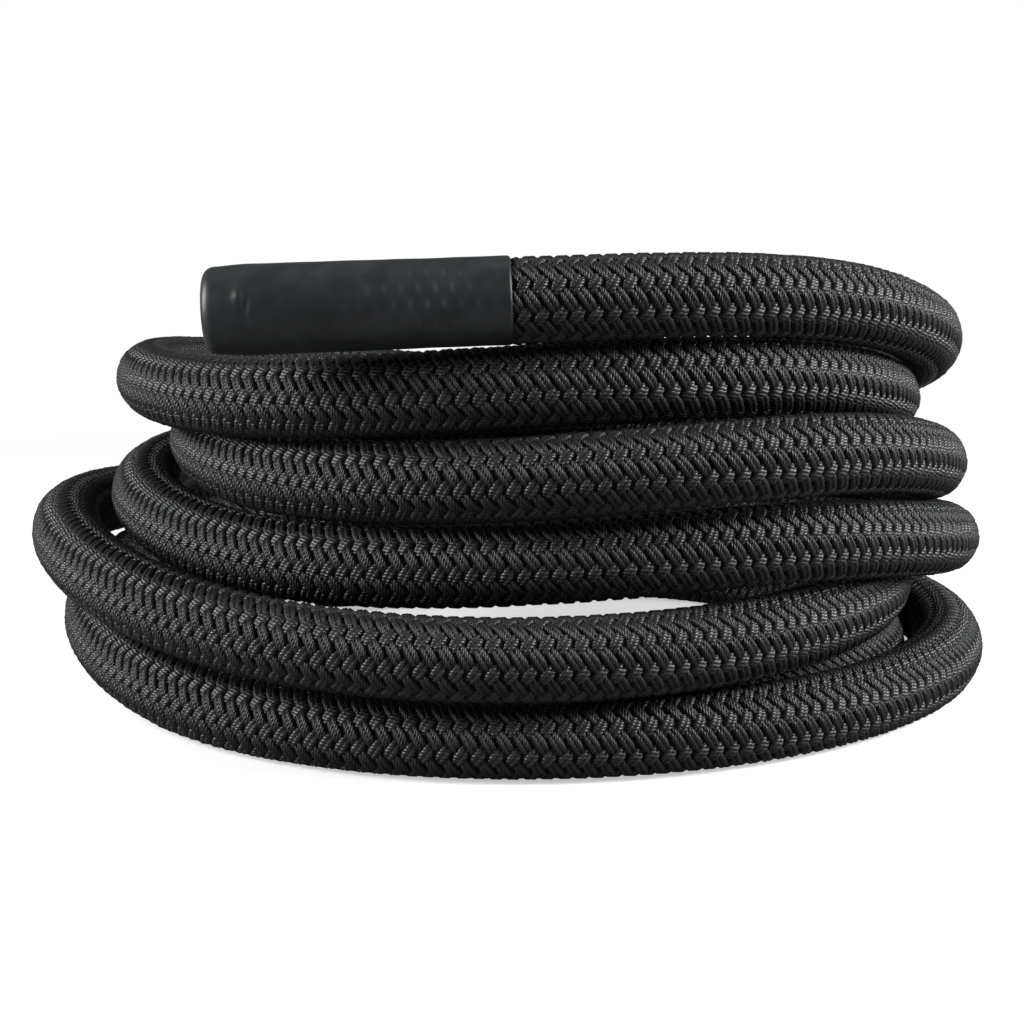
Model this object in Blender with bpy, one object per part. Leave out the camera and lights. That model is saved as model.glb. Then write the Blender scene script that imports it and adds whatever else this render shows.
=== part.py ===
"""A battle rope put away as a loose coil, with a heat-shrunk sleeve over each of its ends.

Sizes are in metres and +Z is up. The coil rests on z = 0 on the flats of its lowest turns, and
the origin lies under the middle of its outline. The rope starts in the front sleeve, at the top
of the pile, and runs round by the right, the back and the left, down to the floor.
"""

import math

import bmesh
import bpy
import numpy as np
from mathutils import Matrix, Vector

# The rope: a braided cover round a core.
ROPE_DIAMETER = 0.038
ROPE_LENGTH = 9.0
COVER_WALL = 0.0055
FLAT_SHARE = 0.1

# The shrunk sleeves, and the tape under them that holds each cut end together.
SLEEVE_LENGTH = 0.132
SLEEVE_WALL = 0.0015
SLEEVE_SQUEEZE = 0.0012
SLEEVE_END_WALL = 0.003
SLEEVE_SHOULDER = 0.0045
SLEEVE_LEAD = 0.006
MOUTH_CHAMFER = 0.0004
TAPE_LENGTH = 0.03
TAPE_THICKNESS = 0.0005
NECK_LENGTH = 0.002

# Clearance between pieces that touch, and how far a cutter runs past what it cuts.
FIT_GAP = 0.0003
CUT_OVERRUN = 0.01

# Faces of the turned pieces and of the tubes.
TURNED_STEPS = 32
SHOULDER_STEPS = 4
TUBE_SIDES = 6
LOOP_POINTS = 24
GAP_STEPS = 8
TANGENT_STEP = 0.01

# Stations of the coil, eight to a turn from the front left, as shares of the rope's diameter:
# how far the rope's middle is from the coil's axis, and how far it is above the lowest turn's.
# The last two stations, 5/6 of the curve's end, lift the rear end so that its sleeve is clear of
# the floor.
STATIONS_PER_TURN = 8
LIFTED_STATIONS = 2
LIFTED_SHARE = 5 / 6
TURN_REACH_SHARES = (
    (5.45, 5.25, 5.20, 5.85, 6.55, 6.40, 5.80, 5.30),
    (5.15, 5.05, 5.00, 5.25, 5.40, 5.25, 4.85, 4.50),
    (4.70, 5.35, 5.80, 5.85, 6.10, 6.20, 6.05, 5.55),
    (4.95, 5.00, 5.55, 6.25, 6.70, 7.05, 7.10, 6.70),
    (6.05, 5.85, 5.30, 5.05, 5.35, 5.75, 6.02, 6.30),
    (5.85, 5.50, 5.75, 6.35, 6.65, 6.30, 5.75, 5.15),
    (4.70, 4.50, 4.70, 5.34, 4.80, 3.80, 2.80),
)
TURN_HEIGHT_SHARES = (
    (4.95, 5.14, 5.23, 4.25, 3.05, 2.90, 3.50, 3.90),
    (3.77, 4.17, 4.21, 3.33, 2.80, 2.70, 2.95, 3.10),
    (2.80, 3.05, 3.45, 2.34, 1.84, 1.96, 2.30, 2.25),
    (1.75, 2.03, 2.30, 1.32, 0.98, 1.00, 1.25, 1.95),
    (1.15, 1.00, 1.05, 1.05, 1.00, 0.99, 1.07, 0.69),
    (0.00, 0.00, 0.00, 0.00, 0.00, 0.00, 0.00, 0.00),
    (0.00, 0.00, 0.00, 0.00, 0.00, 0.00, 0.00),
)

SPANS = sum(len(turn) for turn in TURN_REACH_SHARES) - 3
ROPE_RADIUS = ROPE_DIAMETER / 2
BORE_RADIUS = ROPE_RADIUS - COVER_WALL
CORE_RADIUS = BORE_RADIUS - FIT_GAP / math.cos(math.pi / TUBE_SIDES)
SLEEVE_BORE_RADIUS = ROPE_RADIUS - SLEEVE_SQUEEZE
SLEEVE_RADIUS = SLEEVE_BORE_RADIUS + SLEEVE_WALL
SQUEEZED_RADIUS = SLEEVE_BORE_RADIUS - FIT_GAP
TAPE_RADIUS = SQUEEZED_RADIUS
TAPE_BORE_RADIUS = TAPE_RADIUS - TAPE_THICKNESS
TAPED_RADIUS = TAPE_BORE_RADIUS - FIT_GAP
SLEEVED_LENGTH = SLEEVE_LENGTH - SLEEVE_END_WALL - FIT_GAP
FLOOR_TURN_HEIGHT = ROPE_RADIUS - FLAT_SHARE * ROPE_DIAMETER
END_LIFT = SLEEVE_RADIUS + FIT_GAP - FLOOR_TURN_HEIGHT


def clear_scene():
    for item in list(bpy.data.objects):
        bpy.data.objects.remove(item, do_unlink=True)


def make_material(name, colour, roughness):
    material = bpy.data.materials.new(name)
    material.use_nodes = True
    shader = material.node_tree.nodes["Principled BSDF"]
    shader.inputs["Base Color"].default_value = (*colour, 1.0)
    shader.inputs["Roughness"].default_value = roughness
    shader.inputs["Metallic"].default_value = 0.0
    return material


def add_object(name, data, material):
    item = bpy.data.objects.new(name, data)
    bpy.context.scene.collection.objects.link(item)
    if material:
        data.materials.append(material)
    return item


def smooth_curve(stations, at):
    """A uniform cubic B-spline, with its second station at 0 and its last but one at the end."""
    span = np.clip(np.floor(at).astype(int), 0, len(stations) - 4)
    t = at - span
    weights = (
        (1 - t) ** 3,
        3 * t**3 - 6 * t**2 + 4,
        -3 * t**3 + 3 * t**2 + 3 * t + 1,
        t**3,
    )
    return sum(weight * stations[span + k] for k, weight in enumerate(weights)) / 6


def wound_points(let_out, at):
    """Points of the wound stretch about the coil's axis, at places given in stations."""
    reach = ROPE_DIAMETER * np.concatenate(TURN_REACH_SHARES) + let_out
    height = ROPE_DIAMETER * np.concatenate(TURN_HEIGHT_SHARES) + FLOOR_TURN_HEIGHT
    height[-LIFTED_STATIONS:] += END_LIFT / LIFTED_SHARE
    angle = 2 * math.pi * at / STATIONS_PER_TURN
    radius = smooth_curve(reach, at)
    x = radius * np.sin(angle)
    y = -radius * np.cos(angle)
    return np.stack([x, y, smooth_curve(height, at)], axis=1)


def length_of(points):
    return float(np.linalg.norm(np.diff(points, axis=0), axis=1).sum())


def fitted_let_out():
    """What every reach needs so that the rope in the coil comes to the rope's real length."""
    wound_length = ROPE_LENGTH - 2 * (SLEEVED_LENGTH + SLEEVE_LEAD)
    at = np.linspace(0, SPANS, SPANS * LOOP_POINTS + 1)
    let_out = 0.0
    for _ in range(3):
        short = wound_length - length_of(wound_points(let_out, at))
        let_out += short * STATIONS_PER_TURN / (2 * math.pi * SPANS)
    return let_out


def straight_end(first, second, reaches):
    """Points on the straight run that leaves the coil at first, away from second."""
    along = (first - second) / np.linalg.norm(first - second)
    return np.array([first + along * reach for reach in reaches])


def rope_line(let_out, steps):
    """The rope's whole middle line, from cut end to cut end, with steps points to a station."""
    wound = wound_points(let_out, np.linspace(0, SPANS, SPANS * steps + 1))
    start_side, end_side = wound_points(let_out, np.array([TANGENT_STEP, SPANS - TANGENT_STEP]))
    mouth = SLEEVE_LEAD
    tip = mouth + SLEEVED_LENGTH
    tape_edge = tip - TAPE_LENGTH
    reaches = (tip, tape_edge - FIT_GAP, tape_edge - NECK_LENGTH, mouth)
    start = straight_end(wound[0], start_side, reaches)
    end = straight_end(wound[-1], end_side, reaches)
    middle = (wound.min(axis=0) + wound.max(axis=0)) / 2
    middle[2] = 0.0
    return np.concatenate([start, wound, end[::-1]]) - middle


def least_gap(line):
    """The least distance between two stretches of the rope's surface, over half a turn apart."""
    fine = np.concatenate(
        [np.linspace(a, b, GAP_STEPS, endpoint=False) for a, b in zip(line[:-1], line[1:])]
    )
    run = np.concatenate([[0], np.cumsum(np.linalg.norm(np.diff(fine, axis=0), axis=1))])
    half_turn = length_of(line) / (2 * len(TURN_REACH_SHARES))
    apart = np.linalg.norm(fine[:, None] - fine[None], axis=2)
    other = np.abs(run[:, None] - run[None]) > half_turn
    return float(apart[other].min()) - ROPE_DIAMETER


def resting_place(line):
    """The middle of the foremost straight length that lies level on the floor."""
    middles = (line[:-1] + line[1:]) / 2
    level = np.isclose(middles[:, 2], FLOOR_TURN_HEIGHT, rtol=0, atol=FIT_GAP / 100)
    return min(middles[level], key=lambda place: place[1])


def tube_curve(name, line, radius, shares, material):
    """A round tube along a line, six-sided with an edge up and an edge down."""
    curve = bpy.data.curves.new(name, "CURVE")
    curve.dimensions = "3D"
    curve.twist_mode = "Z_UP"
    curve.bevel_depth = radius
    curve.bevel_resolution = 1
    curve.use_fill_caps = True
    spline = curve.splines.new("POLY")
    spline.points.add(len(line) - 1)
    for point, place, share in zip(spline.points, line, shares):
        point.co = (*place, 1.0)
        point.radius = share
        point.tilt = math.pi / TUBE_SIDES
    return add_object(name, curve, material)


def as_mesh(item, material):
    """The same tube as a mesh object, which a Boolean can cut or cut with."""
    name = item.name
    mesh = bpy.data.meshes.new_from_object(item.evaluated_get(bpy.context.evaluated_depsgraph_get()))
    bpy.data.objects.remove(item, do_unlink=True)
    mesh.name = name
    mesh.materials.clear()
    return add_object(name, mesh, material)


def cut(item, cutter, name):
    cutter.hide_render = True
    cutter.display_type = "WIRE"
    modifier = item.modifiers.new(name, "BOOLEAN")
    modifier.operation = "DIFFERENCE"
    modifier.solver = "EXACT"
    modifier.object = cutter


def floor_cutter(line):
    """A slab from the floor down, wider than the coil."""
    half = np.abs(line[:, :2]).max() + ROPE_RADIUS + CUT_OVERRUN
    bm = bmesh.new()
    bmesh.ops.create_cube(bm, size=1.0)
    bmesh.ops.scale(bm, vec=(2 * half, 2 * half, ROPE_DIAMETER), verts=bm.verts)
    bmesh.ops.translate(bm, vec=(0, 0, -ROPE_RADIUS), verts=bm.verts)
    mesh = bpy.data.meshes.new("floor_cutter")
    bm.to_mesh(mesh)
    bm.free()
    return add_object("floor_cutter", mesh, None)


def make_cover(line, material):
    """The braided cover: the outer tube less the core's bore, cut flat where it lies."""
    taped = TAPED_RADIUS / ROPE_RADIUS
    squeezed = SQUEEZED_RADIUS / ROPE_RADIUS
    end_shares = [taped, taped, squeezed, squeezed]
    shares = end_shares + [1.0] * (len(line) - 2 * len(end_shares)) + end_shares[::-1]
    cover = as_mesh(tube_curve("braided_cover", line, ROPE_RADIUS, shares, None), material)
    bore_line = line.copy()
    bore_line[0] = straight_end(line[0], line[1], (CUT_OVERRUN,))[0]
    bore_line[-1] = straight_end(line[-1], line[-2], (CUT_OVERRUN,))[0]
    bore = tube_curve("core_bore_cutter", bore_line, BORE_RADIUS, [1.0] * len(line), None)
    cut(cover, as_mesh(bore, None), "core_bore")
    cut(cover, floor_cutter(line), "floor_flat")
    return cover


def turned(name, profile, material):
    """A body turned about +Z from a profile of (radius, height) points."""
    bm = bmesh.new()
    points = [bm.verts.new((radius, 0, height)) for radius, height in profile]
    edges = [bm.edges.new(pair) for pair in zip(points[:-1], points[1:])]
    if profile[0][0] > 0:
        edges.append(bm.edges.new((points[-1], points[0])))
    bmesh.ops.spin(
        bm,
        geom=points + edges,
        cent=(0, 0, 0),
        axis=(0, 0, 1),
        angle=2 * math.pi,
        steps=TURNED_STEPS,
        use_merge=True,
    )
    bmesh.ops.remove_doubles(bm, verts=bm.verts, dist=FIT_GAP / 10)
    bmesh.ops.recalc_face_normals(bm, faces=bm.faces)
    mesh = bpy.data.meshes.new(name)
    bm.to_mesh(mesh)
    bm.free()
    mesh.shade_smooth()
    mesh.set_sharp_from_angle(angle=math.radians(40))
    return add_object(name, mesh, material)


def sleeve_profile():
    """Out along the closed end's inside, down the bore, round the mouth and up to the tip."""
    profile = [
        (0, SLEEVED_LENGTH + FIT_GAP),
        (SLEEVE_BORE_RADIUS, SLEEVED_LENGTH + FIT_GAP),
        (SLEEVE_BORE_RADIUS, 0),
        (SLEEVE_RADIUS - MOUTH_CHAMFER, 0),
        (SLEEVE_RADIUS, MOUTH_CHAMFER),
    ]
    for step in range(SHOULDER_STEPS + 1):
        angle = math.pi / 2 * step / SHOULDER_STEPS
        radius = SLEEVE_RADIUS - SLEEVE_SHOULDER * (1 - math.cos(angle))
        height = SLEEVE_LENGTH - SLEEVE_SHOULDER * (1 - math.sin(angle))
        profile.append((radius, height))
    profile.append((0, SLEEVE_LENGTH))
    return profile


def tape_profile():
    """A square-edged band that ends flush with the rope's cut end."""
    return [
        (TAPE_BORE_RADIUS, SLEEVED_LENGTH - TAPE_LENGTH),
        (TAPE_RADIUS, SLEEVED_LENGTH - TAPE_LENGTH),
        (TAPE_RADIUS, SLEEVED_LENGTH),
        (TAPE_BORE_RADIUS, SLEEVED_LENGTH),
    ]


def seat_on_end(item, mouth, tip):
    """Stands a turned piece at a sleeve's mouth, with its +Z towards the rope's cut end."""
    along = Vector(tip - mouth)
    turn = along.to_track_quat("Z", "Y").to_matrix().to_4x4()
    item.matrix_world = Matrix.Translation(Vector(mouth)) @ turn


def main():
    clear_scene()
    cover_finish = make_material("black_braid", (0.022, 0.023, 0.025), 0.62)
    core_finish = make_material("core_fibre", (0.55, 0.54, 0.5), 0.85)
    sleeve_finish = make_material("shrunk_sleeve", (0.035, 0.037, 0.04), 0.5)
    tape_finish = make_material("end_tape", (0.03, 0.03, 0.032), 0.6)

    let_out = fitted_let_out()
    line = rope_line(let_out, LOOP_POINTS // STATIONS_PER_TURN)
    smooth_line = rope_line(let_out, LOOP_POINTS)
    print(f"rope length {length_of(smooth_line):.4f} m, let out {let_out * 1000:.2f} mm a turn's reach")
    print(f"least gap of the coil to itself {least_gap(line) * 1000:.2f} mm")
    flat = resting_place(line)
    print(f"middle of the front resting flat at {flat[0]:.5f}, {flat[1]:.5f}")

    make_cover(line, cover_finish)
    tube_curve("rope_core", line, CORE_RADIUS, [1.0] * len(line), core_finish)
    ends = {"front": (line[3], line[0]), "rear": (line[-4], line[-1])}
    for place, (mouth, tip) in ends.items():
        sleeve = turned(f"{place}_sleeve", sleeve_profile(), sleeve_finish)
        tape = turned(f"{place}_end_tape", tape_profile(), tape_finish)
        seat_on_end(sleeve, mouth, tip)
        seat_on_end(tape, mouth, tip)


main()
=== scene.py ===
"""A black battle rope put away as a coil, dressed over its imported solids.

Sizes are in metres and +Z is up. The rope starts in the front sleeve at the top of the pile and
runs round by the right, the back and the left, down to the floor.
"""

import math

import bpy
import numpy as np
from mathutils import Euler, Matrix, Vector


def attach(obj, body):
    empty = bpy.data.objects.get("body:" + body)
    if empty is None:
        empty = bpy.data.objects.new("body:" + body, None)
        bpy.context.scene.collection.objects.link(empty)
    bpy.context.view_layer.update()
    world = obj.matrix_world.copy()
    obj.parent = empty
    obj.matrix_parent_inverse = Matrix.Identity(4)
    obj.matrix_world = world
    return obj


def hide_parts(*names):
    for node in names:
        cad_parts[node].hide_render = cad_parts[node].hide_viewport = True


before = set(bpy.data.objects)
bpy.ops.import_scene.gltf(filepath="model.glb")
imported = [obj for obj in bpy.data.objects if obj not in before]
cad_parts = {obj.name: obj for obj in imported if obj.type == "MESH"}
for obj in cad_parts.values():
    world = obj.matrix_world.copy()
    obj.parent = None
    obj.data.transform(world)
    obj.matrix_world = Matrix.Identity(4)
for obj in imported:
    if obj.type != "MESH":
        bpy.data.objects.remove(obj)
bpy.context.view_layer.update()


# The camera: it stands in front of the coil, a little above its top, and looks slightly down.
# Its focal length is a share of the sensor's width.
CAMERA_PLACE = (0.00110, -0.96294, 0.24697)
CAMERA_TILT = 0.1743
FOCAL_SHARE = 1.6592
NEAREST_SEEN = 0.01
FARTHEST_SEEN = 100

camera_data = bpy.data.cameras.new("photo_camera")
camera = bpy.data.objects.new("photo_camera", camera_data)
bpy.context.scene.collection.objects.link(camera)
camera.location = CAMERA_PLACE
camera.rotation_euler = Euler((math.pi / 2 - CAMERA_TILT, 0, 0))
camera_data.sensor_fit = "HORIZONTAL"
camera_data.lens = camera_data.sensor_width * FOCAL_SHARE
camera_data.clip_start = NEAREST_SEEN
camera_data.clip_end = FARTHEST_SEEN
bpy.context.scene.camera = camera


# The rope's core: a straight bundle of undyed fibre, 9 m long, which the cover is braided over.
# It lies in a coil of six and a half turns, and everything else on the rope follows its line.
# Each turn has eight stations, whose reach from the coil's axis and height are given in diameters.
ROPE_DIAMETER = 0.038
ROPE_RADIUS = ROPE_DIAMETER / 2
ROPE_LENGTH = 9.0
CORE_RADIUS = 0.0131
CORE_END_GAP = 0.0005
CORE_RINGS = 1400
CORE_SIDES = 10
END_RING_SHARE = 0.02
STATIONS_PER_TURN = 8
SPANS = 52
FLOOR_TURN_HEIGHT = 0.4 * ROPE_DIAMETER
LIFTED_STATIONS = 2
END_LIFT = 0.0044
STATION_LIFT = END_LIFT * 6 / 5
SLEEVED_LENGTH = 0.1287
SLEEVE_LEAD = 0.006
END_RUN = SLEEVED_LENGTH + SLEEVE_LEAD
LET_OUT_PASSES = 3
LET_OUT_STEPS = 24
MIDDLE_STEPS = 3
LINE_STEPS = 96
END_STEPS = 64
TANGENT_STEP = 0.01
SETTLE_DEPTH = 0.004
SETTLE_DROP = 0.0005
TURN_REACH_SHARES = (
    (5.45, 5.25, 5.20, 5.85, 6.55, 6.40, 5.80, 5.30),
    (5.15, 5.05, 5.00, 5.25, 5.40, 5.25, 4.85, 4.50),
    (4.70, 5.35, 5.80, 5.85, 6.10, 6.20, 6.05, 5.55),
    (4.95, 5.00, 5.55, 6.25, 6.70, 7.05, 7.10, 6.70),
    (6.05, 5.85, 5.30, 5.05, 5.35, 5.75, 6.02, 6.30),
    (5.85, 5.50, 5.75, 6.35, 6.65, 6.30, 5.75, 5.15),
    (4.70, 4.50, 4.70, 5.34, 4.80, 3.80, 2.80),
)
TURN_HEIGHT_SHARES = (
    (4.95, 5.14, 5.23, 4.25, 3.05, 2.90, 3.50, 3.90),
    (3.77, 4.17, 4.21, 3.33, 2.80, 2.70, 2.95, 3.10),
    (2.80, 3.05, 3.45, 2.34, 1.84, 1.96, 2.30, 2.25),
    (1.75, 2.03, 2.30, 1.32, 0.98, 1.00, 1.25, 1.95),
    (1.15, 1.00, 1.05, 1.05, 1.00, 0.99, 1.07, 0.69),
    (0.00, 0.00, 0.00, 0.00, 0.00, 0.00, 0.00, 0.00),
    (0.00, 0.00, 0.00, 0.00, 0.00, 0.00, 0.00),
)


def smooth_curve(stations, at):
    """A uniform cubic B-spline: the four stations round a place, each times its cubic weight."""
    span = np.clip(np.floor(at).astype(int), 0, len(stations) - 4)
    t = at - span
    weights = (
        (1 - t) ** 3,
        3 * t**3 - 6 * t**2 + 4,
        -3 * t**3 + 3 * t**2 + 3 * t + 1,
        t**3,
    )
    return sum(weight * stations[span + k] for k, weight in enumerate(weights)) / 6


def wound_points(let_out, at):
    """Reach and height follow smooth curves over the stations, each a 45-degree turn from the
    last. The two stations that lift the rear end weigh 5/6 there, so they rise by 6/5 of the lift.
    """
    reach = ROPE_DIAMETER * np.concatenate(TURN_REACH_SHARES) + let_out
    height = ROPE_DIAMETER * np.concatenate(TURN_HEIGHT_SHARES) + FLOOR_TURN_HEIGHT
    height[-LIFTED_STATIONS:] += STATION_LIFT
    angle = 2 * math.pi * at / STATIONS_PER_TURN
    radius = smooth_curve(reach, at)
    return np.stack([radius * np.sin(angle), -radius * np.cos(angle), smooth_curve(height, at)], 1)


def stations_every(step_count):
    """Places along all the spans, with that count of steps in each."""
    return np.linspace(0, SPANS, SPANS * step_count + 1)


def steps_of(points):
    """The straight distance from each point to the next."""
    return np.linalg.norm(np.diff(points, axis=0), axis=1)


# The turns are let out until the coil and its two straight ends are as long as the rope.
let_out = 0.0
for _ in range(LET_OUT_PASSES):
    wound_length = steps_of(wound_points(let_out, stations_every(LET_OUT_STEPS))).sum()
    short = ROPE_LENGTH - 2 * END_RUN - wound_length
    let_out += short * STATIONS_PER_TURN / (2 * math.pi * SPANS)

coarse = wound_points(let_out, stations_every(MIDDLE_STEPS))
coil_middle = (coarse.min(axis=0) + coarse.max(axis=0)) / 2 * (1, 1, 0)
wound = wound_points(let_out, stations_every(LINE_STEPS)) - coil_middle
near_ends = wound_points(let_out, np.array([TANGENT_STEP, SPANS - TANGENT_STEP])) - coil_middle
front_way = (wound[0] - near_ends[0]) / np.linalg.norm(wound[0] - near_ends[0])
rear_way = (wound[-1] - near_ends[1]) / np.linalg.norm(wound[-1] - near_ends[1])
run_steps = np.linspace(1, 0, END_STEPS + 1)[:-1, None] * END_RUN
rope_line = np.concatenate(
    [wound[0] + front_way * run_steps, wound, wound[-1] + rear_way * run_steps[::-1]]
)
line_run = np.concatenate([[0], np.cumsum(steps_of(rope_line))])
line_run *= ROPE_LENGTH / line_run[-1]
line_way = np.gradient(rope_line, line_run, axis=0)
line_way /= np.linalg.norm(line_way, axis=1)[:, None]


def along_line(values, run):
    """Values that are known at each point of the rope's line, read off at any run."""
    return np.stack([np.interp(run, line_run, column) for column in values.T], -1)


def settled(points):
    """A height under the settling depth becomes that depth times the exponential of the height in
    depths less 1, so that the rope flattens where it rests. Then all heights drop a little.
    """
    height = points[..., 2]
    pressed = SETTLE_DEPTH * np.exp(np.minimum(height / SETTLE_DEPTH - 1, 0))
    points[..., 2] = np.where(height < SETTLE_DEPTH, pressed, height) - SETTLE_DROP
    return points


def on_rope(run, around, radius):
    """The rope's middle at that run, plus the radius times the outward side and the upward side
    of its cross-section, which around turns between: 0 faces out of the coil, a quarter turn up.
    """
    middle = along_line(rope_line, run)
    way = along_line(line_way, run)
    out = np.stack([way[..., 1], -way[..., 0], np.zeros_like(run)], -1)
    out /= np.linalg.norm(out, axis=-1)[..., None]
    up = np.cross(out, way)
    spread = np.cos(around)[..., None] * out + np.sin(around)[..., None] * up
    return settled(middle + radius[..., None] * spread)


def piece_from_arrays(name, points, faces, material, uvs=None):
    """One smooth mesh object at the origin, from a list of points, one of four-cornered faces and,
    where the pattern follows the surface, a place on the UV map for each point.
    """
    mesh = bpy.data.meshes.new(name)
    mesh.vertices.add(len(points))
    mesh.vertices.foreach_set("co", points.astype(np.float32).ravel())
    mesh.loops.add(faces.size)
    mesh.loops.foreach_set("vertex_index", faces.astype(np.int32).ravel())
    mesh.polygons.add(len(faces))
    starts = np.arange(0, faces.size, faces.shape[1], dtype=np.int32)
    mesh.polygons.foreach_set("loop_start", starts)
    if uvs is not None:
        layer = mesh.uv_layers.new(name="OFBake")
        layer.uv.foreach_set("vector", uvs[faces.ravel()].astype(np.float32).ravel())
    mesh.update(calc_edges=True)
    mesh.validate()
    mesh.shade_smooth()
    mesh.materials.append(material)
    piece = bpy.data.objects.new(name, mesh)
    bpy.context.scene.collection.objects.link(piece)
    return piece


def ring_faces(ring_count, sides_count):
    """The quads between each ring and the next, the last side joined to the first."""
    ring, side = np.meshgrid(np.arange(ring_count - 1), np.arange(sides_count), indexing="ij")
    here = ring * sides_count + side
    beside = ring * sides_count + (side + 1) % sides_count
    return np.stack([here, beside, beside + sides_count, here + sides_count], -1).reshape(-1, 4)


def lid_faces(first_corner, sides_count):
    """Quads straight across a ring, which starts at that corner, to close it."""
    step = np.arange(sides_count // 2 - 1)
    far = sides_count - 2 - step
    return first_corner + np.stack([step, step + 1, far, far + 1], -1)


def closed_tube(name, runs, sides_count, radii, material):
    """Rings round the rope's line at the runs, each of its own radius, with a far smaller ring
    and a lid at each end to close it.
    """
    runs = np.concatenate([runs[:1], runs, runs[-1:]])
    radii = np.concatenate([radii[:1] * END_RING_SHARE, radii, radii[-1:] * END_RING_SHARE])
    around = -2 * math.pi * np.arange(sides_count) / sides_count
    run_grid, around_grid = np.meshgrid(runs, around, indexing="ij")
    points = on_rope(run_grid, around_grid, np.broadcast_to(radii[:, None], run_grid.shape))
    points = points.reshape(-1, 3)
    start_lid = lid_faces(0, sides_count)[:, ::-1]
    end_lid = lid_faces(len(points) - sides_count, sides_count)
    faces = np.concatenate([ring_faces(len(runs), sides_count), start_lid, end_lid])
    return piece_from_arrays(name, points, faces, material)


def new_material(name, colour, roughness):
    """A finish of one colour and roughness, with its nodes and its shader to add to."""
    material = bpy.data.materials.new(name)
    material.use_nodes = True
    tree = material.node_tree
    shader = tree.nodes["Principled BSDF"]
    shader.inputs["Base Color"].default_value = (*colour, 1)
    shader.inputs["Roughness"].default_value = roughness
    return material, tree, shader


def add_node(tree, kind, links=None, **values):
    """A node with its inputs linked from other nodes' sockets, and its settings and values."""
    node = tree.nodes.new(kind)
    for name, value in values.items():
        setattr(node, name, value)
    for socket, source in (links or {}).items():
        if isinstance(source, bpy.types.NodeSocket):
            tree.links.new(source, node.inputs[socket])
        else:
            node.inputs[socket].default_value = source
    return node


def flecked_tint(tree, scale, dark, light):
    """Noise of that scale over the piece, and the colour that runs from dark to light with it."""
    place = add_node(tree, "ShaderNodeTexCoord")
    noise_links = {"Vector": place.outputs["Object"], "Scale": scale}
    flecks = add_node(tree, "ShaderNodeTexNoise", noise_links)
    tint = add_node(tree, "ShaderNodeValToRGB", {"Fac": flecks.outputs["Fac"]})
    for element, colour in zip(tint.color_ramp.elements, (dark, light)):
        element.color = (*colour, 1)
    return flecks, tint


fibre, tree, shader = new_material("undyed_fibre", colour=(0.55, 0.53, 0.48), roughness=0.85)
_, tint = flecked_tint(tree, scale=900.0, dark=(0.42, 0.40, 0.35), light=(0.66, 0.64, 0.59))
tree.links.new(tint.outputs["Color"], shader.inputs["Base Color"])

core_runs = np.linspace(CORE_END_GAP, ROPE_LENGTH - CORE_END_GAP, CORE_RINGS)
core_radii = np.full(CORE_RINGS, CORE_RADIUS)
core = closed_tube("fibre_core", core_runs, CORE_SIDES, core_radii, fibre)
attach(core, "root")
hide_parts("rope_core")


# The cover's under side: the yarns where they pass beneath each other, dark between the floats.
# It is the rope's whole length in one tube. The sleeves squeeze the cover a little.
UNDER_RADIUS = 0.0169
UNDER_RINGS = 1401
UNDER_SIDES = 20
UNDER_SPECULAR = 0.1
SQUEEZED_SHARE = 0.92
SQUEEZE_RUN = 0.008


def squeeze(run):
    """1 along the rope, and less by a smooth step over a few millimetres into each sleeve."""
    inside = SLEEVED_LENGTH - np.minimum(run, ROPE_LENGTH - run)
    step = np.clip(inside / SQUEEZE_RUN + 0.5, 0, 1)
    return 1 - (1 - SQUEEZED_SHARE) * step * step * (3 - 2 * step)


yarn, tree, shader = new_material("yarn_underneath", colour=(0.02, 0.02, 0.021), roughness=0.7)
_, tint = flecked_tint(tree, scale=700.0, dark=(0.012, 0.012, 0.013), light=(0.028, 0.028, 0.030))
tree.links.new(tint.outputs["Color"], shader.inputs["Base Color"])
shader.inputs["Specular IOR Level"].default_value = UNDER_SPECULAR

under_runs = np.linspace(0, ROPE_LENGTH, UNDER_RINGS)
under_radii = UNDER_RADIUS * squeeze(under_runs)
under = closed_tube("cover_underside", under_runs, UNDER_SIDES, under_radii, yarn)
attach(under, "root")


# The cover's upper side: 32 pairs of twisted polyester cords, braided over two and under two round
# the core. Each float, the stretch of a pair that shows, bulges and dives under its neighbours.
# The 16 columns of floats rise and fall by turns, and coiling twisted them, most at the front end.
PICKS = 1250
COLUMNS = 16
STRETCHES = 5
TWIST_PER_STATION = -math.pi / 16
FIRST_COLUMN = -0.12
FRONT_TWIST = -0.38
FRONT_TWIST_RUN = 0.25
CREST_RADIUS = 0.0194
RISING_REACH = (0.0050, 0.0030)
FALLING_REACH = (0.0061, 0.0035)
PAIR_HALF_WIDTH = 0.0028
PAIR_SHEAR = 0.42
END_NARROWING = 0.3
RISING_DROPS = (0.0001, 0.0018, 0.0009)
FALLING_DROPS = (0.0, 0.0011, 0.0013)
SIDE_DROP = 0.0020
SEAM_DROP = 0.0009
SEAM_SHARE = 0.24
SLIDE_WANDER = 0.0002
SIDE_WANDER = 0.0001
HEIGHT_WANDER = 0.00008
WIDTH_WANDER = 0.03
LENGTH_STEPS = np.array([-1.0, -0.8, -0.35, 0.35, 0.8, 1.0])
WIDTH_STEPS = np.array([-1.0, -0.92, -0.7, -0.24, 0.0, 0.24, 0.7, 0.92, 1.0])
ATLAS_CELLS = 8
CELL_REACH = 0.49
PLIES_ACROSS = 2.8
PLY_RELIEF = 0.0003
HAIR_SCALE = 160.0
HAIR_DETAIL = 2.0
HAIR_SHIFT = 0.06
SECOND_CORD_SHIFT = 0.2
END_POWER = 5.0
EDGE_POWER = 6.0
CELL_TONES = {"To Min": 0.85, "To Max": 1.15}
# Painted shade: the cords' colour darkens in the ply grooves, at their tucked ends and edges, and
# along the seam of each pair.
PLY_PAINTED_SHADE = {"To Min": 0.3, "To Max": 1.05}
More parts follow.
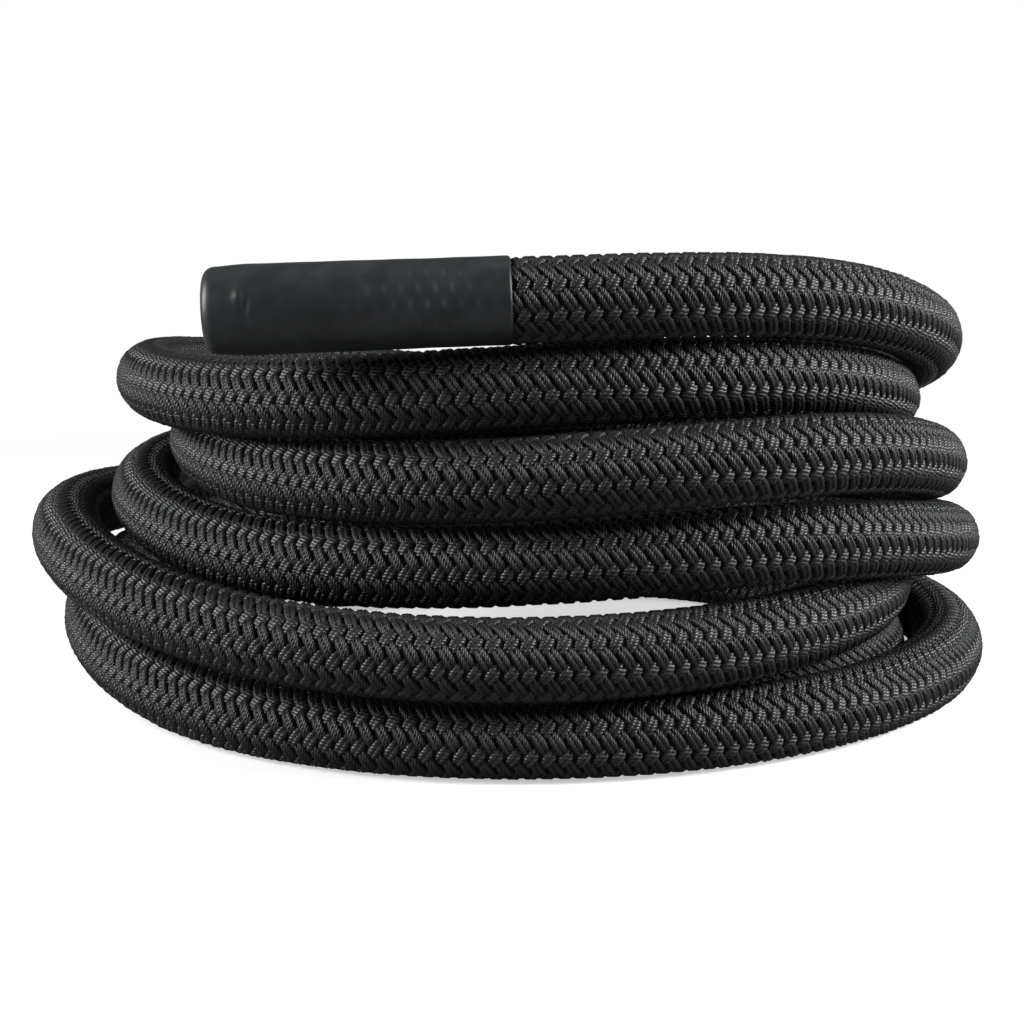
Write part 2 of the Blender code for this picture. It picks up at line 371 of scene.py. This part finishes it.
TUCKED_PAINTED_SHADE = {"To Min": 1.0, "To Max": 0.45}
SEAM_PAINTED_SHADE = {"From Max": 0.2, "To Min": 0.3, "To Max": 1.0}
GROOVE_ROUGHNESS = 0.7

line_stations = np.concatenate(
    [np.zeros(END_STEPS), stations_every(LINE_STEPS), np.full(END_STEPS, SPANS)]
)


def braid_stretch(first_pick, last_pick, falls, seed):
    """Each float on a grid of its length u and width w, both from -1 to 1. Its middle line is u
    times its reach round and along the rope, it slides along by the shear times the way across,
    and it narrows with u to the 4th. It lies under the crest by its drops times 1, u squared and
    u to the 6th, by the side drop times w to the 5th, and by the seam drop at the line where its
    two cords touch. Falling floats lie half a pick further on. The columns turn by an even twist
    a station, and by the front twist times the exponential of minus the run.
    """
    rng = np.random.default_rng(seed)
    hand = -1 if falls else 1
    reach_arc, reach_run = FALLING_REACH if falls else RISING_REACH
    crest_drop, middle_drop, end_drop = FALLING_DROPS if falls else RISING_DROPS
    pick, column = np.meshgrid(
        np.arange(first_pick, last_pick), np.arange(falls, COLUMNS, 2), indexing="ij"
    )
    pick, column = (a.ravel()[:, None, None] for a in (pick, column))
    count = len(pick)
    slide, shift, lift, widen = rng.normal(0, 1, (4, count, 1, 1))
    u = LENGTH_STEPS[None, :, None]
    w = WIDTH_STEPS[None, None, :]
    slope = math.hypot(reach_arc, reach_run)
    half_width = PAIR_HALF_WIDTH * (1 - END_NARROWING * u**4) * (1 + WIDTH_WANDER * widen)
    across = w * half_width
    along = u * slope - across * PAIR_SHEAR + SLIDE_WANDER * slide
    across = across + SIDE_WANDER * shift
    run = (pick + 0.5 + 0.5 * falls) * ROPE_LENGTH / PICKS
    run = run + (along * reach_run + across * reach_arc) / slope
    arc = hand * (along * reach_arc - across * reach_run) / slope
    seam = SEAM_DROP * np.clip(1 - abs(w) / SEAM_SHARE, 0, 1)
    drop = crest_drop + middle_drop * u**2 + end_drop * u**6 + SIDE_DROP * abs(w) ** 5 + seam
    radius = CREST_RADIUS - drop + HEIGHT_WANDER * lift
    run = np.clip(run, 0, ROPE_LENGTH)
    twist = TWIST_PER_STATION * np.interp(run, line_run, line_stations)
    twist = twist + FRONT_TWIST * np.exp(-run / FRONT_TWIST_RUN)
    around = FIRST_COLUMN + 2 * math.pi * column / COLUMNS + twist + arc / ROPE_RADIUS
    points = on_rope(run, around, radius * squeeze(run))
    rows, columns = len(LENGTH_STEPS), len(WIDTH_STEPS)
    corner = np.arange(count * rows * columns).reshape(count, rows, columns)
    quads = np.stack(
        [corner[:, :-1, :-1], corner[:, :-1, 1:], corner[:, 1:, 1:], corner[:, 1:, :-1]], -1
    )
    cell = rng.integers(0, ATLAS_CELLS * ATLAS_CELLS, (count, 1, 1))
    uv_u = (cell % ATLAS_CELLS + 0.5 + CELL_REACH * u + 0 * w) / ATLAS_CELLS
    uv_v = (cell // ATLAS_CELLS + 0.5 + CELL_REACH * hand * w + 0 * u) / ATLAS_CELLS
    uvs = np.stack([uv_u, uv_v], -1).reshape(-1, 2)
    return points.reshape(-1, 3), quads.reshape(-1, 4)[:, ::hand], uvs


def maths(tree, operation, *values):
    """The result of one operation on numbers or on other nodes' results."""
    links = dict(enumerate(values))
    return add_node(tree, "ShaderNodeMath", links, operation=operation).outputs[0]


def from_middle(tree, share):
    """How far a share lies from a half, from 0 in the middle to 1 at both ends."""
    return maths(tree, "ABSOLUTE", maths(tree, "MULTIPLY_ADD", share, 2.0, -1.0))


def ranged(tree, value, limits):
    """A value from 0 to 1, or from the limits given, spread evenly over new limits."""
    return add_node(tree, "ShaderNodeMapRange", {"Value": value, **limits}).outputs[0]


def cord_material(name, plies, colour, roughness, specular):
    """Two twisted cords in each cell of the UV map, each cell with a tone and a start of its own.
    A ply crosses them where the count of plies along, less a share of the way across, has its
    whole numbers, and its section between these is 1 less a square. The colour is darker, as
    painted shade, between the plies, along the seam of the pair, and by powers of the way out at
    the ends and edges, where the cords sink between their neighbours.
    """
    cord, tree, shader = new_material(name, colour, roughness)
    shader.inputs["Specular IOR Level"].default_value = specular
    atlas = add_node(tree, "ShaderNodeUVMap", uv_map="OFBake")
    scale = {0: atlas.outputs["UV"], 1: (ATLAS_CELLS,) * 3}
    cells = add_node(tree, "ShaderNodeVectorMath", scale, operation="MULTIPLY").outputs[0]
    cell = add_node(tree, "ShaderNodeVectorMath", {0: cells}, operation="FLOOR")
    local = add_node(tree, "ShaderNodeVectorMath", {0: cells}, operation="FRACTION")
    parts = add_node(tree, "ShaderNodeSeparateXYZ", {0: local.outputs[0]})
    along, across = parts.outputs["X"], parts.outputs["Y"]
    chance = add_node(tree, "ShaderNodeTexWhiteNoise", {"Vector": cell.outputs[0]}).outputs["Value"]
    spot = {"Vector": atlas.outputs["UV"], "Scale": HAIR_SCALE, "Detail": HAIR_DETAIL}
    hair = add_node(tree, "ShaderNodeTexNoise", spot).outputs["Fac"]
    second = maths(tree, "GREATER_THAN", across, 0.5)
    phase = maths(tree, "MULTIPLY_ADD", along, plies, chance)
    phase = maths(tree, "MULTIPLY_ADD", across, -PLIES_ACROSS, phase)
    phase = maths(tree, "MULTIPLY_ADD", second, SECOND_CORD_SHIFT, phase)
    phase = maths(tree, "MULTIPLY_ADD", hair, HAIR_SHIFT, phase)
    saw = maths(tree, "MULTIPLY_ADD", maths(tree, "FRACT", phase), 2.0, -1.0)
    ply = maths(tree, "SUBTRACT", 1.0, maths(tree, "MULTIPLY", saw, saw))
    height = {"Height": ply, "Strength": 1.0, "Distance": PLY_RELIEF}
    bump = add_node(tree, "ShaderNodeBump", height)
    tree.links.new(bump.outputs[0], shader.inputs["Normal"])
    edge_away = from_middle(tree, across)
    away = maths(tree, "POWER", from_middle(tree, along), END_POWER)
    away = maths(tree, "MAXIMUM", away, maths(tree, "POWER", edge_away, EDGE_POWER))
    shade = ranged(tree, chance, CELL_TONES)
    # Painted shade in the ply grooves, at the tucked ends and edges and along the seam, times the
    # cell's own random tone.
    shade = maths(tree, "MULTIPLY", shade, ranged(tree, ply, PLY_PAINTED_SHADE))
    shade = maths(tree, "MULTIPLY", shade, ranged(tree, away, TUCKED_PAINTED_SHADE))
    shade = maths(tree, "MULTIPLY", shade, ranged(tree, edge_away, SEAM_PAINTED_SHADE))
    # Sockets 6 and 7 of a Mix node are its two colours.
    mix = {0: shade, 6: (0.0, 0.0, 0.0, 1), 7: (*colour, 1)}
    tint = add_node(tree, "ShaderNodeMix", mix, data_type="RGBA")
    tree.links.new(tint.outputs[2], shader.inputs["Base Color"])
    gloss = ranged(tree, shade, {"To Min": GROOVE_ROUGHNESS, "To Max": roughness})
    tree.links.new(gloss, shader.inputs["Roughness"])
    return cord


# Both hands are the same black yarn: the falling cords' darker colour is painted shade.
crossed = cord_material(
    "cord_rising", plies=6.0, colour=(0.020, 0.0203, 0.0215), roughness=0.41, specular=0.75
)
lengthwise = cord_material(
    "cord_falling", plies=7.5, colour=(0.015, 0.0152, 0.016), roughness=0.42, specular=0.45
)

pick_marks = np.linspace(0, PICKS, STRETCHES + 1).astype(int)
hidden_picks = int((SLEEVED_LENGTH - SQUEEZE_RUN) / ROPE_LENGTH * PICKS)
pick_marks[0] += hidden_picks
pick_marks[-1] -= hidden_picks
for number, (first_pick, last_pick) in enumerate(zip(pick_marks[:-1], pick_marks[1:]), 1):
    for falls, name, cords in ((0, "rising_floats", crossed), (1, "falling_floats", lengthwise)):
        points, faces, uvs = braid_stretch(first_pick, last_pick, falls, 2 * number + falls)
        braid = piece_from_arrays(f"{name}_{number}", points, faces, cords, uvs)
        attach(braid, "root")
        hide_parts("braided_cover")


# The end tapes: black cloth tape wound round each cut end, hidden in the sleeve, which keeps the
# cut braid from coming undone. Three laps each slope from their edge to the next one's.
TAPE_LENGTH = 0.03
TAPE_LAPS = 3
TAPE_EDGE = 0.0002
TAPE_BORE = 0.0162
TAPE_RADIUS = 0.0175
TAPE_SIDES = 64

rope_ends = (
    ("front", wound[0] + front_way * SLEEVE_LEAD, front_way),
    ("rear", wound[-1] + rear_way * SLEEVE_LEAD, rear_way),
)


def turned_piece(name, mouth, way, reach, radii, material, joined=False):
    """Rings of the radii round the way, each at its reach from the mouth, and each side of a ring
    at its own radius. They run from the first to the last, which a lid closes, or back to the
    first if joined.
    """
    sides_count = radii.shape[1]
    around = 2 * math.pi * np.arange(sides_count) / sides_count
    out = np.array([-way[1], way[0], 0]) / math.hypot(way[0], way[1])
    up = np.cross(way, out)
    ring = np.cos(around)[:, None] * out + np.sin(around)[:, None] * up
    points = mouth + reach[:, None, None] * way + radii[..., None] * ring
    faces = ring_faces(len(reach) + joined, sides_count) % (len(reach) * sides_count)
    if not joined:
        lid = lid_faces((len(reach) - 1) * sides_count, sides_count)
        faces = np.concatenate([faces, lid])
    return piece_from_arrays(name, points.reshape(-1, 3), faces, material)


cloth, tree, shader = new_material("cloth_tape", colour=(0.03, 0.03, 0.032), roughness=0.65)
_, tint = flecked_tint(tree, scale=1200.0, dark=(0.020, 0.020, 0.021), light=(0.040, 0.040, 0.042))
tree.links.new(tint.outputs["Color"], shader.inputs["Base Color"])

lap_ends = np.linspace(0, TAPE_LENGTH, TAPE_LAPS + 1)[1:]
lap_steps = np.stack([lap_ends - TAPE_EDGE, lap_ends], 1).ravel()
tape_reach = np.concatenate([[0, 0, TAPE_EDGE], lap_steps, [TAPE_LENGTH]])
tape_reach += SLEEVED_LENGTH - TAPE_LENGTH
lap_radii = [TAPE_RADIUS - TAPE_EDGE, TAPE_RADIUS] * (TAPE_LAPS + 1)
tape_profile = np.array([TAPE_BORE, *lap_radii, TAPE_BORE])
tape_radii = np.repeat(tape_profile[:, None], TAPE_SIDES, axis=1)
for end_name, mouth, way in rope_ends:
    tape_name = f"{end_name}_cloth_tape"
    tape = turned_piece(tape_name, mouth, way, tape_reach, tape_radii, cloth, joined=True)
    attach(tape, "root")
    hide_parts(f"{end_name}_end_tape")


# The sleeves: charcoal shrink tube, closed at the tip, shrunk over the tape and the last of the
# braid. It swells a little away from its mouth and narrows at the tip, where shrinking left a
# small fold, and the braid's knuckles stand out under it. A painted highlight makes the tube
# paler on the knuckles.
SLEEVE_LENGTH = 0.132
SLEEVE_RADIUS = 0.0193
SLEEVE_BORE = 0.0178
BORE_SHOWN = 0.012
SLEEVE_RINGS = 180
SLEEVE_SIDES = 128
SHOULDER = 0.0048
SHOULDER_RINGS = 9
TIP_RINGS = 7
TIP_RING = 0.0002
LIP = 0.0012
LIP_DROP = 0.0008
SWELL = 0.02
TIP_TAPER = 0.05
TAPER_REACH = 0.022
KNUCKLE_HEIGHT = 0.0002
KNUCKLES_AT = 0.034
KNUCKLES_REACH = 0.024
KNUCKLES_ANGLE = 0.22
KNUCKLES_ROUND = 0.55
# How much paler the painted highlight makes the tube on the knuckles.
KNUCKLE_HIGHLIGHT_GAIN = 2.4
WAVE_DEPTH = 0.0001
WAVES = ((180, 3), (90, -5))
FOLDS = (
    (0.0010, 0.1152, 0.35, 0.0023, 0.17),
    (-0.0006, 0.1128, 0.18, 0.0018, 0.22),
    (0.0003, 0.1105, -0.08, 0.0014, 0.24),
)
RELIEF_MARGIN = 0.003
CLOUD_ENDS = (0.36, 0.64)
CLOUD_ROUGHNESS = {"To Min": 0.5, "To Max": 0.38}


def knuckles(reach, around):
    """The knuckles of the braid stand where the cosine of the reach in braid pitches times that
    of the angle in column pairs is above 0, as its square, under a bell over reach and angle.
    """
    crossings = np.cos(2 * math.pi * reach * PICKS / ROPE_LENGTH) * np.cos(COLUMNS / 2 * around)
    along = (reach - KNUCKLES_AT) / KNUCKLES_REACH
    across = (around - KNUCKLES_ANGLE) / KNUCKLES_ROUND
    return np.exp(-(along**2) - across**2) * np.maximum(crossings, 0) ** 2


def sleeve_relief(reach, around):
    """The knuckles under the tube, waves that are a product of two slanting sines, and the folds,
    each a bell of its own (height, reach, angle, half length, half width).
    """
    first, second = (np.sin(along * reach + turned * around) for along, turned in WAVES)
    relief = KNUCKLE_HEIGHT * knuckles(reach, around) + WAVE_DEPTH * (first * second)
    for height, fold_reach, fold_angle, half_length, half_width in FOLDS:
        away = ((reach - fold_reach) / half_length) ** 2 + ((around - fold_angle) / half_width) ** 2
        relief = relief + height * np.exp(-away)
    return relief


def sleeve_piece(name, mouth, way, material):
    """Rings from a little way up the bore to its mouth, round the lip, along the outside and round
    the shoulder to the middle of the tip. The radius grows by the swell times the square of the
    reach and shrinks by the taper times a smooth step, and the relief stands on it.
    """
    lip = [[0.0, SLEEVE_RADIUS - LIP_DROP], [LIP / 3, SLEEVE_RADIUS - LIP_DROP / 3]]
    inner = np.array([[BORE_SHOWN, SLEEVE_BORE], [0.0, SLEEVE_BORE]] + lip)
    outside_reach = np.linspace(LIP, SLEEVE_LENGTH - SHOULDER, SLEEVE_RINGS)
    outside = np.stack([outside_reach, np.full(SLEEVE_RINGS, SLEEVE_RADIUS)], 1)
    turn = np.linspace(0, math.pi / 2, SHOULDER_RINGS + 1)[1:]
    corner = np.stack(
        [
            SLEEVE_LENGTH - SHOULDER * (1 - np.sin(turn)),
            SLEEVE_RADIUS - SHOULDER * (1 - np.cos(turn)),
        ],
        1,
    )
    tip_radii = np.linspace(SLEEVE_RADIUS - SHOULDER, TIP_RING, TIP_RINGS + 1)[1:]
    tip = np.stack([np.full(TIP_RINGS, SLEEVE_LENGTH), tip_radii], 1)
    reach, radius = np.concatenate([inner, outside, corner, tip]).T
    around = 2 * math.pi * np.arange(SLEEVE_SIDES) / SLEEVE_SIDES
    signed = np.where(around > math.pi, around - 2 * math.pi, around)
    from_ends = np.minimum(reach - LIP, SLEEVE_LENGTH - SHOULDER - reach)
    relief_share = np.clip(from_ends / RELIEF_MARGIN, 0, 1)
    relief_share[: len(inner)] = 0
    taper_start = SLEEVE_LENGTH - TAPER_REACH
    widening = np.clip(reach / taper_start, 0, 1) ** 2
    widening[: len(inner)] = 0
    narrowing = np.clip((reach - taper_start) / TAPER_REACH, 0, 1)
    radius = radius * (1 + SWELL * widening - TIP_TAPER * narrowing**2 * (3 - 2 * narrowing))
    radii = radius[:, None] + relief_share[:, None] * sleeve_relief(reach[:, None], signed)
    sleeve = turned_piece(name, mouth, way, reach, radii, material)
    # The knuckles' share is kept on the points for the painted highlight that makes the tube paler
    # there.
    painted_highlight = relief_share[:, None] * knuckles(reach[:, None], signed)
    knuckle_highlight = sleeve.data.attributes.new("knuckle_highlight", "FLOAT", "POINT")
    knuckle_highlight.data.foreach_set("value", painted_highlight.ravel())
    return sleeve


shrink, tree, shader = new_material("shrunk_tube", colour=(0.022, 0.023, 0.025), roughness=0.42)
cloud, tint = flecked_tint(
    tree, scale=85.0, dark=(0.0140, 0.0146, 0.0164), light=(0.0265, 0.0275, 0.0302)
)
for element, position in zip(tint.color_ramp.elements, CLOUD_ENDS):
    element.position = position
# Painted highlight: the tube's colour is made paler on the knuckles.
knuckle_highlight = add_node(tree, "ShaderNodeAttribute", attribute_name="knuckle_highlight").outputs["Fac"]
paleness = ranged(tree, knuckle_highlight, {"To Min": 1.0, "To Max": KNUCKLE_HIGHLIGHT_GAIN})
pale = {0: tint.outputs["Color"], 1: paleness}
pale_tint = add_node(tree, "ShaderNodeVectorMath", pale, operation="MULTIPLY")
tree.links.new(pale_tint.outputs[0], shader.inputs["Base Color"])
gloss = ranged(tree, cloud.outputs["Fac"], CLOUD_ROUGHNESS)
tree.links.new(gloss, shader.inputs["Roughness"])

for end_name, mouth, way in rope_ends:
    sleeve = sleeve_piece(f"{end_name}_shrunk_sleeve", mouth, way, shrink)
    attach(sleeve, "root")
    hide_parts(f"{end_name}_sleeve")


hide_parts("braided_cover")


# The studio: a paper floor and soft boxes at both sides, with a weak one above. The camera sees
# the lit floor half mixed with white, and all white like the wall farther out, while the rope
# sees a darker paper and a dim room.
FLOOR_HALF = 6.0
FLOOR_GAIN = 1.4
FADE = {"From Min": 0.5, "From Max": 1.1, "To Min": 0.5}
WHITE = (1, 1, 1, 1)
ROOM_GLOW = 0.13

floor_mesh = bpy.data.meshes.new("studio_floor")
square = ((-1, -1), (1, -1), (1, 1), (-1, 1))
floor_corners = [(x * FLOOR_HALF, y * FLOOR_HALF, 0) for x, y in square]
floor_mesh.from_pydata(floor_corners, [], [(0, 1, 2, 3)])
floor = bpy.data.objects.new("studio_floor", floor_mesh)
bpy.context.scene.collection.objects.link(floor)
paper, tree, shader = new_material("pale_paper", colour=(0.2, 0.2, 0.2), roughness=0.9)
place = add_node(tree, "ShaderNodeTexCoord")
reach = add_node(tree, "ShaderNodeVectorMath", {0: place.outputs["Object"]}, operation="LENGTH")
fade = ranged(tree, reach.outputs["Value"], FADE)
lit = add_node(tree, "ShaderNodeBsdfDiffuse", {"Color": (FLOOR_GAIN,) * 3 + (1,)})
wall = add_node(tree, "ShaderNodeEmission", {"Strength": 1.0})
seen_mix = {0: fade, 1: lit.outputs[0], 2: wall.outputs[0]}
shown = add_node(tree, "ShaderNodeMixShader", seen_mix)
ray = add_node(tree, "ShaderNodeLightPath")
paper_mix = {0: ray.outputs["Is Camera Ray"], 1: shader.outputs[0], 2: shown.outputs[0]}
surface = add_node(tree, "ShaderNodeMixShader", paper_mix)
tree.links.new(surface.outputs[0], tree.nodes["Material Output"].inputs["Surface"])
floor_mesh.materials.append(paper)

world = bpy.data.worlds.new("studio")
bpy.context.scene.world = world
world.use_nodes = True
tree = world.node_tree
tree.nodes.clear()
ray = add_node(tree, "ShaderNodeLightPath")
backdrop = add_node(tree, "ShaderNodeBackground", {"Color": WHITE, "Strength": 1.0})
room = add_node(tree, "ShaderNodeBackground", {"Color": WHITE, "Strength": ROOM_GLOW})
room_mix = {0: ray.outputs["Is Camera Ray"], 1: room.outputs[0], 2: backdrop.outputs[0]}
blend = add_node(tree, "ShaderNodeMixShader", room_mix)
add_node(tree, "ShaderNodeOutputWorld", {"Surface": blend.outputs[0]})


def soft_box(name, place, target, size, watts):
    """A rectangular lamp that faces its target."""
    data = bpy.data.lights.new(name, "AREA")
    data.shape = "RECTANGLE"
    data.size, data.size_y = size
    data.energy = watts
    lamp = bpy.data.objects.new(name, data)
    bpy.context.scene.collection.objects.link(lamp)
    lamp.location = place
    away = np.array(target) - np.array(place)
    lamp.rotation_euler = Vector(away).to_track_quat("-Z", "Y").to_euler()


soft_box("overhead_box", (0.1, 0.2, 1.6), target=(0, 0, 0.1), size=(1.0, 1.0), watts=0.6)
soft_box("right_box", (1.32, -0.36, 0.8), target=(0, 0, 0.12), size=(0.6, 0.8), watts=33)
soft_box("left_box", (-1.3, -0.44, 0.68), target=(0, 0, 0.12), size=(0.6, 0.8), watts=26)

bpy.context.scene.view_settings.view_transform = "Standard"
